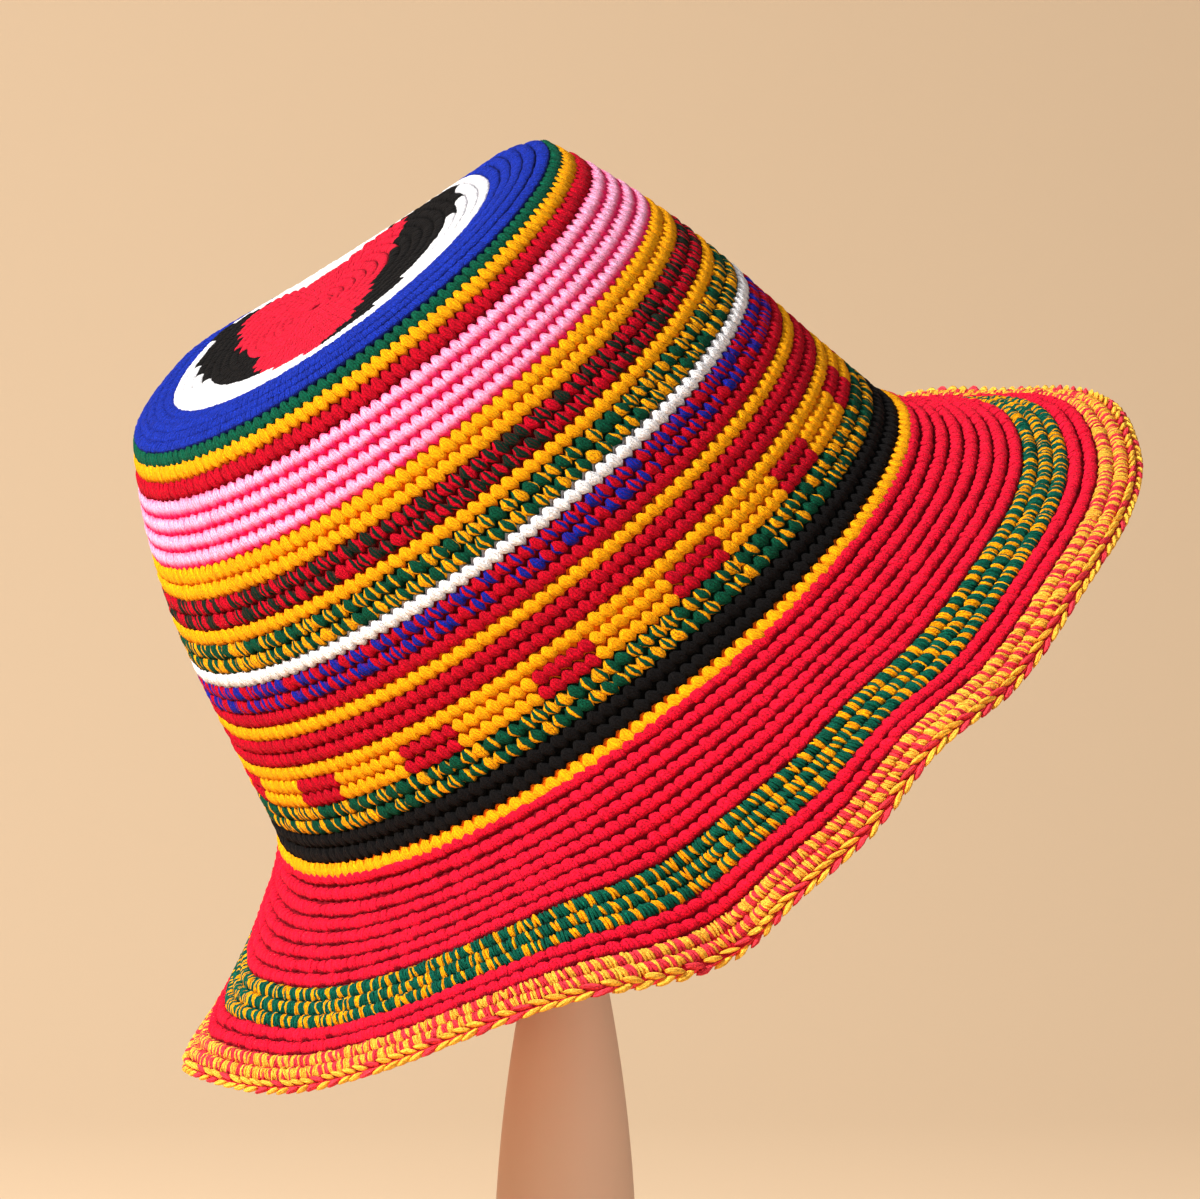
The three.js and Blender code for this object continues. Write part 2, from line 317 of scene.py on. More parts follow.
@dataclass
class Graph:
    """Short calls for building a node tree. A value is a node's first result, a socket or a fixed value."""

    tree: bpy.types.NodeTree

    def feed(self, socket: Socket, value: object) -> None:
        """Links a socket to a value, or sets it.

        Args:
            socket: the input to feed.
            value: what it takes.
        """
        if isinstance(value, Node):
            value = value.outputs[0]
        if isinstance(value, Socket):
            self.tree.links.new(value, socket)
        else:
            socket.default_value = value

    def fill(self, node: Node, feeds: dict[str | int, object]) -> Node:
        """Feeds a node's inputs.

        Args:
            node: the node.
            feeds: the values by the inputs' names or numbers.

        Returns:
            The same node.
        """
        for key, value in feeds.items():
            self.feed(node.inputs[key], value)
        return node

    def node(self, kind: str, *feeds: object, **settings: object) -> Node:
        """Adds a node.

        Args:
            kind: the node's type.
            feeds: the values of its first inputs, in order.
            settings: its properties, which are set first.

        Returns:
            The new node.
        """
        made = self.tree.nodes.new(kind)
        for name, value in settings.items():
            setattr(made, name, value)
        return self.fill(made, dict(enumerate(feeds)))

    def math(self, operation: str, *values: object) -> Socket:
        """A Math node's result."""
        return self.node("ShaderNodeMath", *values, operation=operation).outputs[0]

    def chain(self, operation: str, *values: object) -> Socket:
        """Works several values into one, two at a time."""
        return reduce(lambda first, second: self.math(operation, first, second), values)

    def vector(self, *values: object) -> Socket:
        """A vector from three numbers."""
        return self.node("ShaderNodeCombineXYZ", *values).outputs[0]

    def mix(self, share: object, first: object, second: object, blend: str = "MIX") -> Socket:
        """A mix of two colours."""
        made = self.node("ShaderNodeMix", share, data_type="RGBA", blend_type=blend)
        return self.fill(made, {6: first, 7: second}).outputs[2]

    def smooth(self, *numbers: object) -> Socket:
        """A smooth step of a value between two bounds, from 0 or a start to 1 or an end."""
        return self.node("ShaderNodeMapRange", *numbers, interpolation_type="SMOOTHSTEP").outputs[0]

    def noise(self, vector: object, scale: object, detail: float, distortion: float = 0.0) -> Node:
        """A Noise Texture node on a vector."""
        feeds = {"Vector": vector, "Scale": scale, "Detail": detail, "Distortion": distortion}
        return self.fill(self.node("ShaderNodeTexNoise"), feeds)

    def bump(self, strength: float, distance: float, height: object) -> Node:
        """A Bump node on a height."""
        feeds = {"Strength": strength, "Distance": distance, "Height": height}
        return self.fill(self.node("ShaderNodeBump"), feeds)


def new_material(name: str) -> tuple[Material, Graph, Node]:
    """Makes a material.

    Args:
        name: its name.

    Returns:
        The material, its graph and its shader.
    """
    made = bpy.data.materials.new(name)
    made.use_nodes = True
    return made, Graph(made.node_tree), made.node_tree.nodes["Principled BSDF"]


def place_object(name: str, data: bpy.types.ID) -> Object:
    """Puts a new object in the scene.

    Args:
        name: its name.
        data: its mesh, camera or lamp.

    Returns:
        The object.
    """
    made = bpy.data.objects.new(name, data)
    bpy.context.scene.collection.objects.link(made)
    return made


def linear(red: int, green: int, blue: int) -> Color:
    """A linear colour from display values of 0 to 255."""
    shares = [value / 255 for value in (red, green, blue)]
    return tuple(((share + 0.055) / 1.055) ** 2.4 if share > 0.04 else share / 12.92 for share in shares)


def opaque(color: Color) -> tuple[float, float, float, float]:
    """A colour with full alpha."""
    return (*color, 1.0)


@dataclass(frozen=True)
class YarnFinish:
    """Wool yarn of one colour, or two yarns worked as one marled strand.

    Args:
        name: the material's name.
        color: the yarn's colour.
        second: the other yarn's colour, in a marl.
        second_share: how much of the marl the other yarn takes.
        groove_shade_color: painted shade, the colour put in the grooves between stitches and rounds where
            shadow falls; for the pink it also paints light glowing through the yarn.
        strands: how many strands lie side by side in a stitch.
        fuzz: how much loose fibre roughens the surface, and how bright its painted highlights are.
        foot_shade_depth: how far up from its foot a stitch takes the painted shade.
        head_shade_depth: how far down from its head a stitch takes the painted shade.
        cleft_shade: how far the yarn is mixed towards the painted shade between its strands.
    """

    name: str
    color: Color
    second: Optional[Color] = None
    second_share: float = 0.0
    groove_shade_color: Optional[Color] = None
    strands: float = 4.0
    fuzz: float = 1.0
    foot_shade_depth: float = 0.3
    head_shade_depth: float = 0.12
    cleft_shade: float = 0.5

    # Noise scales in waves to the metre, and the wander, slant and shift of the strands in strands
    WANDER_SCALE = 700.0
    FLUFF_SCALE = 2300.0
    HAIR_GLINT_SCALE = 1500.0
    HAIR_GLINT_CURL = 2.5
    WANDER = 0.8
    STRAND_SLANT = 0.35
    LOT_SHIFT = 0.317
    # painted shade in the grooves, as a share of the yarn's own colour, where no shade colour is given
    GROOVE_SHADE = 0.3

    def lit(self) -> Color:
        """The lighter colour of the loose fibres that catch the light."""
        return tuple(min(1.0, 1.8 * c + 0.05) for c in self.color)

    @cache
    def material(self) -> Material:
        """Builds the yarn's material, once for each yarn.

        Returns:
            The material.
        """
        made, graph, shader = new_material(self.name)
        made.diffuse_color = opaque(self.color)
        place = graph.node("ShaderNodeSeparateXYZ", graph.node("ShaderNodeUVMap", uv_map="stitch"))
        across, up = place.outputs[0], place.outputs[1]
        lot = graph.math("ROUND", graph.node("ShaderNodeAttribute", attribute_name="lot").outputs["Fac"])
        body = graph.node("ShaderNodeTexCoord").outputs["Object"]
        strand = graph.math("MULTIPLY_ADD", across, self.strands, graph.math("MULTIPLY", lot, self.LOT_SHIFT))
        strand = graph.math("MULTIPLY_ADD", graph.noise(body, self.WANDER_SCALE, 1.0), self.WANDER, strand)
        strand = graph.math("MULTIPLY_ADD", up, self.STRAND_SLANT, strand)
        which = graph.math("FLOOR", strand)
        ridge = graph.math("SINE", graph.math("MULTIPLY", graph.math("FRACT", strand), math.pi))
        dice = graph.node("ShaderNodeTexWhiteNoise", graph.vector(which, lot, 0.0), noise_dimensions="2D")
        along, over = graph.math("MULTIPLY", strand, 5.0), graph.math("MULTIPLY", up, 2.6)
        fibre = graph.noise(graph.vector(along, over, which), 1.6, 3.0)
        fluff = graph.noise(body, self.FLUFF_SCALE, 4.0)
        # painted highlight: bright specks of loose fibres that catch the light
        hair_glint = graph.noise(body, self.HAIR_GLINT_SCALE, 4.0, self.HAIR_GLINT_CURL)
        color = opaque(self.color)
        if self.second is not None:
            picked = graph.math("LESS_THAN", dice, self.second_share)
            color = graph.mix(picked, color, opaque(self.second))
        tone = graph.chain(
            "MULTIPLY",
            graph.smooth(dice, 0.0, 1.0, 0.9, 1.08),
            graph.smooth(fibre, 0.25, 0.75, 0.82, 1.14),
            graph.smooth(fluff, 0.3, 0.7, 1 - 0.32 * self.fuzz, 1 + 0.28 * self.fuzz),
            # brightens the yarn at the painted fibre highlights
            graph.smooth(hair_glint, 0.57, 0.68, 1.0, 1 + 0.75 * self.fuzz),
        )
        color = graph.mix(1.0, color, graph.node("ShaderNodeCombineColor", tone, tone, tone), "MULTIPLY")
        # Painted shade: the stitch's sides, its foot, its head and the gaps between its strands are mixed
        # towards the shade colour, where shadow falls between stitches, rounds and strands
        off_middle = graph.math("ABSOLUTE", graph.math("MULTIPLY_ADD", across, 2.0, -1.0))
        side_crease_shade = graph.smooth(off_middle, 0.6, 0.95, 0.0, 0.85)
        groove_shade_mask = graph.chain(
            "MAXIMUM",
            graph.smooth(up, 0.35 * self.foot_shade_depth, self.foot_shade_depth, 1.0, 0.0),
            graph.smooth(up, 1 - self.head_shade_depth, 1.0),
            graph.math("MULTIPLY", side_crease_shade, graph.smooth(up, 0.45, 0.75)),
            graph.smooth(ridge, 0.0, 0.6, self.cleft_shade, 0.0),
        )
        # the painted shade colour: the given one, or the yarn's own colour darkened
        groove_shade_color = self.groove_shade_color or tuple(self.GROOVE_SHADE * c for c in self.color)
        height = graph.math("MULTIPLY_ADD", ridge, 0.5, graph.math("MULTIPLY", fibre, 0.5))
        height = graph.math("MULTIPLY_ADD", fluff, 0.7 * self.fuzz, height)
        graph.fill(shader, {
            "Base Color": graph.mix(groove_shade_mask, color, opaque(groove_shade_color)),
            "Roughness": 0.92,
            "Specular IOR Level": 0.12,
            "Sheen Weight": 0.0 if self.second else 0.07 * self.fuzz,
            "Sheen Roughness": 0.6,
            "Sheen Tint": opaque(self.lit()),
            "Normal": graph.bump(0.9, 0.0008, height),
        })
        return made


BLUE = linear(14, 44, 164)
GREEN = linear(0, 84, 60)
YELLOW = linear(255, 172, 4)
RED = linear(190, 1, 32)
BRIM_RED = linear(236, 14, 50)
PINK = linear(255, 180, 218)
# painted shade with a painted glow of light through the yarn, for the pink's grooves
PINK_GROOVE_SHADE = linear(255, 16, 112)
WHITE = linear(244, 244, 248)
BLACK = linear(10, 8, 9)
# painted shade for the yellow yarns' grooves
YELLOW_GROOVE_SHADE = linear(226, 108, 0)

# Every colour given below for a yarn's grooves is painted shade, and the pink's is also a painted glow
BLUE_YARN = YarnFinish("blue_yarn", BLUE, fuzz=1.4)
GREEN_YARN = YarnFinish("green_yarn", GREEN)
YELLOW_YARN = YarnFinish("yellow_yarn", YELLOW, groove_shade_color=YELLOW_GROOVE_SHADE, strands=5.0, fuzz=0.6, cleft_shade=0.2)
RED_YARN = YarnFinish("red_yarn", RED)
TIP_RED_YARN = replace(RED_YARN, color=linear(222, 24, 54))
PINK_YARN = YarnFinish("pink_yarn", PINK, groove_shade_color=PINK_GROOVE_SHADE, foot_shade_depth=0.6, head_shade_depth=0.34, fuzz=0.7,
                       cleft_shade=0.3)
WHITE_YARN = YarnFinish("white_yarn", WHITE, groove_shade_color=linear(188, 186, 196), fuzz=0.6, cleft_shade=0.2)
BLACK_YARN = YarnFinish("black_yarn", BLACK)
BRIM_YARN = YarnFinish("brim_red_yarn", BRIM_RED, groove_shade_color=linear(120, 0, 20), fuzz=1.5, foot_shade_depth=0.28,
                       cleft_shade=0.35)
RED_GREEN_MARL = YarnFinish("red_green_marl", RED, linear(2, 40, 30), 0.45, strands=4.6)
GREEN_YELLOW_MARL = YarnFinish("green_yellow_marl", linear(0, 72, 50), YELLOW, 0.38, strands=4.6)
BLUE_RED_MARL = YarnFinish("blue_red_marl", RED, linear(4, 34, 160), 0.42, strands=4.6)
BRIM_GREEN_YARN = YarnFinish("brim_green_yarn", linear(0, 92, 72), groove_shade_color=linear(0, 26, 20),
                              strands=2.0, foot_shade_depth=0.16)
BRIM_YELLOW_YARN = YarnFinish("brim_yellow_yarn", YELLOW, groove_shade_color=YELLOW_GROOVE_SHADE, strands=2.0, foot_shade_depth=0.12)
EDGE_YELLOW_YARN = YarnFinish("edge_yellow_yarn", linear(255, 192, 66), groove_shade_color=linear(238, 112, 20),
                              strands=2.0, foot_shade_depth=0.12, cleft_shade=0.3)
EDGE_RED_YARN = YarnFinish("edge_red_yarn", linear(236, 60, 74), groove_shade_color=linear(170, 16, 30),
                           strands=2.0, foot_shade_depth=0.12, cleft_shade=0.3)


@dataclass(frozen=True)
class StitchShape:
    """One closed stitch, a rounded body drawn on rows of cross-sections from its foot to its head.

    The body is one unit wide, one unit high and one unit proud, and is scaled to each place.
    Each section is (level, half width, side shift, height, squareness): the level from the
    foot, below 0, to the head, above 0, and how flat the section's dome is across.
    """

    name: str
    sections: tuple[tuple[float, float, float, float, float], ...]
    columns: int = 6
    sunk: float = -0.7

    def mesh(self) -> Mesh:
        """Builds the stitch with its own map, across and up.

        Returns:
            The stitch's closed mesh.
        """
        spread = np.sin(np.linspace(-0.5, 0.5, self.columns + 1) * np.pi)
        foot, head = self.sections[0][0], self.sections[-1][0]
        points: list[tuple[float, float, float]] = []
        places: list[tuple[float, float]] = []
        rows: list[list[int]] = []
        for level, half, shift, height, square in self.sections:
            rise = (level - foot) / (head - foot)
            if half == 0:
                rows.append([len(points)])
                points.append((shift, level, height))
                places.append((0.5, rise))
                continue
            dome = np.maximum(0, 1 - np.abs(spread) ** square) ** (1 / square)
            rows.append(list(range(len(points), len(points) + self.columns + 1)))
            for side, swell in zip(spread, dome):
                points.append((shift + half * side, level, self.sunk + (height - self.sunk) * swell))
                places.append((0.5 + 0.5 * side, rise))
        faces: list[tuple[int, ...]] = []
        for low, high in zip(rows, rows[1:]):
            if len(low) == 1:
                faces += [(low[0], high[i + 1], high[i]) for i in range(self.columns)]
                faces.append((low[0], high[0], high[-1]))
            elif len(high) == 1:
                faces += [(low[i], low[i + 1], high[0]) for i in range(self.columns)]
                faces.append((low[-1], low[0], high[0]))
            else:
                faces += [(low[i], low[i + 1], high[i + 1], high[i]) for i in range(self.columns)]
                faces.append((low[-1], low[0], high[0], high[-1]))
        mesh = bpy.data.meshes.new(self.name)
        mesh.from_pydata(points, [], faces)
        layer = mesh.uv_layers.new(name="stitch")
        for loop in mesh.loops:
            layer.data[loop.index].uv = places[loop.vertex_index]
        mesh.validate()
        return mesh


SHAPES = {
    Build.PLUMP: StitchShape(
        "plump_stitch",
        sections=(
            (-0.80, 0.0, 0.30, 0.0, 2.0),
            (-0.62, 0.20, 0.27, 0.72, 2.0),
            (-0.42, 0.48, 0.14, 0.86, 4.0),
            (-0.18, 0.66, 0.03, 0.96, 5.0),
            (0.02, 0.62, -0.02, 1.0, 4.4),
            (0.20, 0.46, -0.05, 0.98, 3.0),
            (0.40, 0.32, -0.08, 0.82, 2.3),
            (0.55, 0.0, -0.11, 0.0, 2.0),
        ),
    ),
    Build.FLAT: StitchShape(
        "flat_stitch",
        sections=(
            (-0.57, 0.0, 0.0, -0.3, 2.0),
            (-0.53, 0.55, 0.05, 0.50, 5.0),
            (-0.32, 0.64, 0.03, 0.90, 6.0),
            (0.0, 0.64, 0.0, 1.0, 5.0),
            (0.32, 0.60, -0.03, 0.90, 5.0),
            (0.53, 0.50, -0.05, 0.50, 4.0),
            (0.57, 0.0, 0.0, -0.3, 2.0),
        ),
    ),
    Build.CORDED: StitchShape(
        "corded_stitch",
        sections=(
            (-0.57, 0.0, 0.22, -0.3, 2.0),
            (-0.43, 0.48, 0.15, 0.50, 3.0),
            (-0.20, 0.67, 0.07, 0.90, 4.4),
            (0.06, 0.67, 0.0, 1.0, 4.4),
            (0.28, 0.56, -0.08, 0.88, 3.0),
            (0.44, 0.38, -0.14, 0.52, 2.4),
            (0.56, 0.0, -0.18, -0.3, 2.0),
        ),
    ),
    Build.STRAND: StitchShape(
        "marled_strand", columns=4,
        sections=(
            (-0.60, 0.0, 0.62, -0.6, 2.0),
            (-0.42, 0.46, 0.46, 0.48, 2.4),
            (-0.10, 0.60, 0.10, 0.96, 2.6),
            (0.20, 0.60, -0.24, 0.94, 2.6),
            (0.44, 0.44, -0.50, 0.44, 2.4),
            (0.58, 0.0, -0.62, -0.5, 2.0),
        ),
    ),
    Build.LEG: StitchShape(
        "chain_leg", columns=4, sunk=-0.9,
        sections=(
            (-0.55, 0.0, 0.0, -0.6, 2.0),
            (-0.32, 0.34, 0.0, 0.5, 2.0),
            (0.0, 0.5, 0.0, 1.0, 2.2),
            (0.30, 0.40, 0.0, 0.8, 2.0),
            (0.55, 0.0, 0.0, 0.0, 2.0),
        ),
    ),
    Build.WRONG_SIDE: StitchShape(
        "wrong_side_stitch", columns=3,
        sections=(
            (-0.52, 0.0, -0.2, -0.3, 2.0),
            (-0.21, 0.56, -0.08, 0.8, 2.6),
            (0.21, 0.56, 0.08, 0.8, 2.6),
            (0.52, 0.0, 0.2, -0.3, 2.0),
        ),
    ),
}


@dataclass(frozen=True)
class StitchTree:
    """The Geometry Nodes tree that sets one stitch on every point of a round."""

    name: str = "crochet_stitches"
    size_jitter: float = 0.07
    turn_jitter: float = 0.09
    wobble: float = 0.0004
    wobble_scale: float = 330.0
    seed: int = 7

    INPUTS = (
        ("Rounds", "NodeSocketGeometry"),
        ("Stitch", "NodeSocketObject"),
        ("Yarn", "NodeSocketMaterial"),
        ("Size jitter", "NodeSocketFloat"),
        ("Turn jitter", "NodeSocketFloat"),
        ("Wobble", "NodeSocketFloat"),
        ("Wobble scale", "NodeSocketFloat"),
        ("Seed", "NodeSocketInt"),
    )

    @cache
    def tree(self) -> bpy.types.NodeTree:
        """Builds the tree, once.

        Returns:
            The tree.
        """
        made = bpy.data.node_groups.new(self.name, "GeometryNodeTree")
        for label, kind in self.INPUTS:
            made.interface.new_socket(label, in_out="INPUT", socket_type=kind)
        made.interface.new_socket("Stitches", in_out="OUTPUT", socket_type="NodeSocketGeometry")
        graph = Graph(made)
        given = graph.node("NodeGroupInput").outputs
        outward, along, size = (self.named(graph, name) for name in ("outward", "along", "size"))
        axes = {"primary_axis": "Z", "secondary_axis": "X"}
        facing = graph.node("FunctionNodeAxesToRotation", outward, along, **axes)
        jitter = self.scatter(graph, given["Turn jitter"], given["Seed"], 0.0)
        turn = graph.node("FunctionNodeRotateRotation", facing, jitter, rotation_space="LOCAL")
        jitter = self.scatter(graph, given["Size jitter"], given["Seed"], 1.0)
        size = graph.node("ShaderNodeVectorMath", size, jitter, operation="MULTIPLY")
        stitch = graph.fill(graph.node("GeometryNodeObjectInfo"), {"Object": given["Stitch"]})
        placed = graph.fill(graph.node("GeometryNodeInstanceOnPoints"), {
            "Points": given["Rounds"],
            "Instance": stitch.outputs["Geometry"],
            "Rotation": turn,
            "Scale": size,
        })
        real = graph.node("GeometryNodeRealizeInstances", placed)
        noise = graph.noise(graph.node("GeometryNodeInputPosition"), given["Wobble scale"], 1.0)
        middle = (0.5, 0.5, 0.5)
        offset = graph.node("ShaderNodeVectorMath", noise.outputs["Color"], middle, operation="SUBTRACT")
        offset = graph.node("ShaderNodeVectorMath", offset, operation="SCALE")
        graph.feed(offset.inputs["Scale"], given["Wobble"])
        moved = graph.fill(graph.node("GeometryNodeSetPosition"), {"Geometry": real, "Offset": offset})
        smooth = graph.node("GeometryNodeSetShadeSmooth", moved)
        feeds = {"Geometry": smooth, "Material": given["Yarn"]}
        graph.node("NodeGroupOutput", graph.fill(graph.node("GeometryNodeSetMaterial"), feeds))
        return made

    def named(self, graph: Graph, name: str) -> Socket:
        """A named vector's value."""
        made = graph.node("GeometryNodeInputNamedAttribute", data_type="FLOAT_VECTOR")
        return graph.fill(made, {"Name": name}).outputs["Attribute"]

    def scatter(self, graph: Graph, amount: Socket, seed: Socket, middle: float) -> Socket:
        """Draws a random vector for each stitch, the same on every run.

        Args:
            graph: the tree's graph.
            amount: how far from its middle each number may lie.
            seed: the draw's seed.
            middle: the middle of each number.

        Returns:
            The vector.
        """
        low, high = (graph.math(way, middle, amount) for way in ("SUBTRACT", "ADD"))
        made = graph.node("FunctionNodeRandomValue", low, high, data_type="FLOAT_VECTOR")
        return graph.fill(made, {"Seed": seed}).outputs[0]

    def apply(self, points: Object, stitch: Object, yarn: Material, loose: float) -> Mesh:
        """Sets the stitches on a mesh of points.

        Args:
            points: the holder of the points.
            stitch: the object whose mesh is the stitch.
            yarn: the stitches' material.
            loose: how many times as uneven as usual the stitches are.

        Returns:
            All of the stitches as one plain mesh.
        """
        modifier = points.modifiers.new("stitches", "NODES")
        modifier.node_group = self.tree()
        values = {
            "Stitch": stitch,
            "Yarn": yarn,
            "Size jitter": self.size_jitter * loose,
            "Turn jitter": self.turn_jitter * loose,
            "Wobble": self.wobble,
            "Wobble scale": self.wobble_scale,
            "Seed": self.seed,
        }
        for item in modifier.node_group.interface.items_tree:
            if item.in_out == "INPUT" and item.name in values:
                modifier[item.identifier] = values[item.name]
        graph = bpy.context.evaluated_depsgraph_get()
        mesh = bpy.data.meshes.new_from_object(points.evaluated_get(graph), depsgraph=graph)
        points.modifiers.remove(modifier)
        return mesh


def finish_piece(mesh: Mesh, slot: str, *replaced: str) -> None:
    """Makes a mesh a piece that rides on the hat's body, and reports it.

    Args:
        mesh: the finished mesh, whose name the piece takes.
        slot: a material slot's name, not used.
        replaced: the nodes that the piece stands for.
    """
    piece = place_object(mesh.name, mesh)
    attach(piece, BODY)
    if replaced:
        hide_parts(*replaced)
    LOG.info("%s: %d triangles", mesh.name, sum(len(face.vertices) - 2 for face in mesh.polygons))


@dataclass(frozen=True)
class Marl:
    """How two yarns share a round's strands: in short runs by turns, the same for both yarns' pieces.

    Args:
        first_run: the most strands that a run of the first yarn holds.
        second_run: the most strands that a run of the second yarn holds.
        second: whether this piece is the second yarn's.
    """

    first_run: int
    second_run: int
    second: bool

    def takes(self, count: int, distance: float) -> np.ndarray:
        """Deals a round's strands out to the two yarns.

        Args:
            count: how many strands the round has.
            distance: the round's place, which sets its order.

        Returns:
            Which strands this yarn takes.
        """
        rng = np.random.default_rng(round(abs(distance) * 1e5))
        first = rng.integers(1, self.first_run + 1, count)
        second = rng.integers(1, self.second_run + 1, count)
        ends = np.cumsum(np.stack([first, second], 1).ravel())
        turns = np.searchsorted(ends, np.arange(count), side="right") % 2
        return (turns == 1) == self.second


@dataclass
class Band:
    """Neighbouring rounds of one yarn, which become one piece."""

    name: str
    slot: str
    yarn: YarnFinish
    rounds: Sequence[Round]
    build: Build = Build.PLUMP
    wall: Wall = Wall.OUTSIDE
    proud: float = 0.0017
    sink: float = 0.0015
    wanted: Optional[Callable[[Round, np.ndarray], np.ndarray]] = None
    marl: Optional[Marl] = None
    loose: float = 1.0
    dye_lots: int = 1000
    turn: float = 0.0
    roll: float = 0.0
    width: float = 1.0
    tall: float = 1.0
    seed: int = 1

    def stitch(self, surface: HatSurface) -> None:
        """Works the band's rounds into one piece.

        Args:
            surface: the fabric's surface that the rounds follow.
        """
        rng = np.random.default_rng(self.seed)
        rows = []
        for row in self.rounds:
            lots = np.floor(rng.random(row.count) * self.dye_lots)
            rows.append(self.placed(surface, row, lots))
        mesh = self.point_mesh({name: np.concatenate([row[name] for row in rows]) for name in rows[0]})
        holder = place_object(self.name + "_points", mesh)
        template = place_object(self.name + "_stitch", SHAPES[self.build].mesh())
        made = StitchTree().apply(holder, template, self.yarn.material(), self.loose)
        for spare in (holder, template):
            data = spare.data
            bpy.data.objects.remove(spare)
            bpy.data.meshes.remove(data)
        for spare in ("along", "outward", "size"):
            if spare in made.attributes:
                made.attributes.remove(made.attributes[spare])
        made.name = self.name
        finish_piece(made, self.slot)

    def placed(self, surface: HatSurface, row: Round, lots: np.ndarray) -> dict[str, np.ndarray]:
        """Places a round's stitches.

        Args:
            surface: the fabric's surface.
            row: the round.
            lots: each stitch's dye lot.

        Returns:
            The place, facing, size and dye lot of each stitch that is this band's own.
        """
        angles = row.angles()
        kept = np.ones(len(angles), bool) if self.wanted is None else self.wanted(row, angles)
        if self.marl is not None:
            kept = kept & self.marl.takes(len(angles), row.distance)
        angles = angles[kept]
        points, along, outward = surface.frames(row.distance, angles)
        sign, depth = 1, self.sink
        if self.wall is Wall.INSIDE:
            wall = surface.crown_wall if row.distance >= 0 else surface.brim_wall
            sign, depth = -1, wall - self.sink
        place = points - outward * depth
        roll, lean = math.radians(self.roll), math.radians(self.turn)
        up = np.cross(outward, along)
        rolled = outward * math.cos(roll) - up * math.sin(roll)
        up = up * math.cos(roll) + outward * math.sin(roll)
        wide = self.pitch(surface, row, angles) * self.width
        high = np.full_like(wide, row.height * self.tall)
        return {
            "place": place,
            "along": sign * (along * math.cos(lean) + up * math.sin(lean)),
            "outward": sign * rolled,
            "size": np.stack([wide, high, np.full_like(wide, self.proud)], -1),
            "lot": lots[kept],
        }

    def pitch(self, surface: HatSurface, row: Round, angles: np.ndarray) -> np.ndarray:
        """Measures the room along the round that each stitch has.

        Args:
            surface: the fabric's surface.
            row: the round.
            angles: the stitches' angles.

        Returns:
            One width for each stitch.
        """
        half = math.pi / row.count
        ahead = surface.own_point(row.distance, angles + half)
        behind = surface.own_point(row.distance, angles - half)
        return np.linalg.norm(ahead - behind, axis=1)

    def point_mesh(self, columns: dict[str, np.ndarray]) -> Mesh:
        """Makes the points that the stitches are set on.

        Args:
            columns: each stitch's place, facing, size and dye lot.

        Returns:
            A mesh of bare points that carries them.
        """
        mesh = bpy.data.meshes.new(self.name + "_points")
        mesh.vertices.add(len(columns["place"]))
        mesh.vertices.foreach_set("co", columns["place"].astype(np.float32).ravel())
        for name in ("along", "outward", "size"):
            layer = mesh.attributes.new(name, "FLOAT_VECTOR", "POINT")
            layer.data.foreach_set("vector", columns[name].astype(np.float32).ravel())
        lots = mesh.attributes.new("lot", "FLOAT", "POINT")
        lots.data.foreach_set("value", columns["lot"].astype(np.float32))
        return mesh


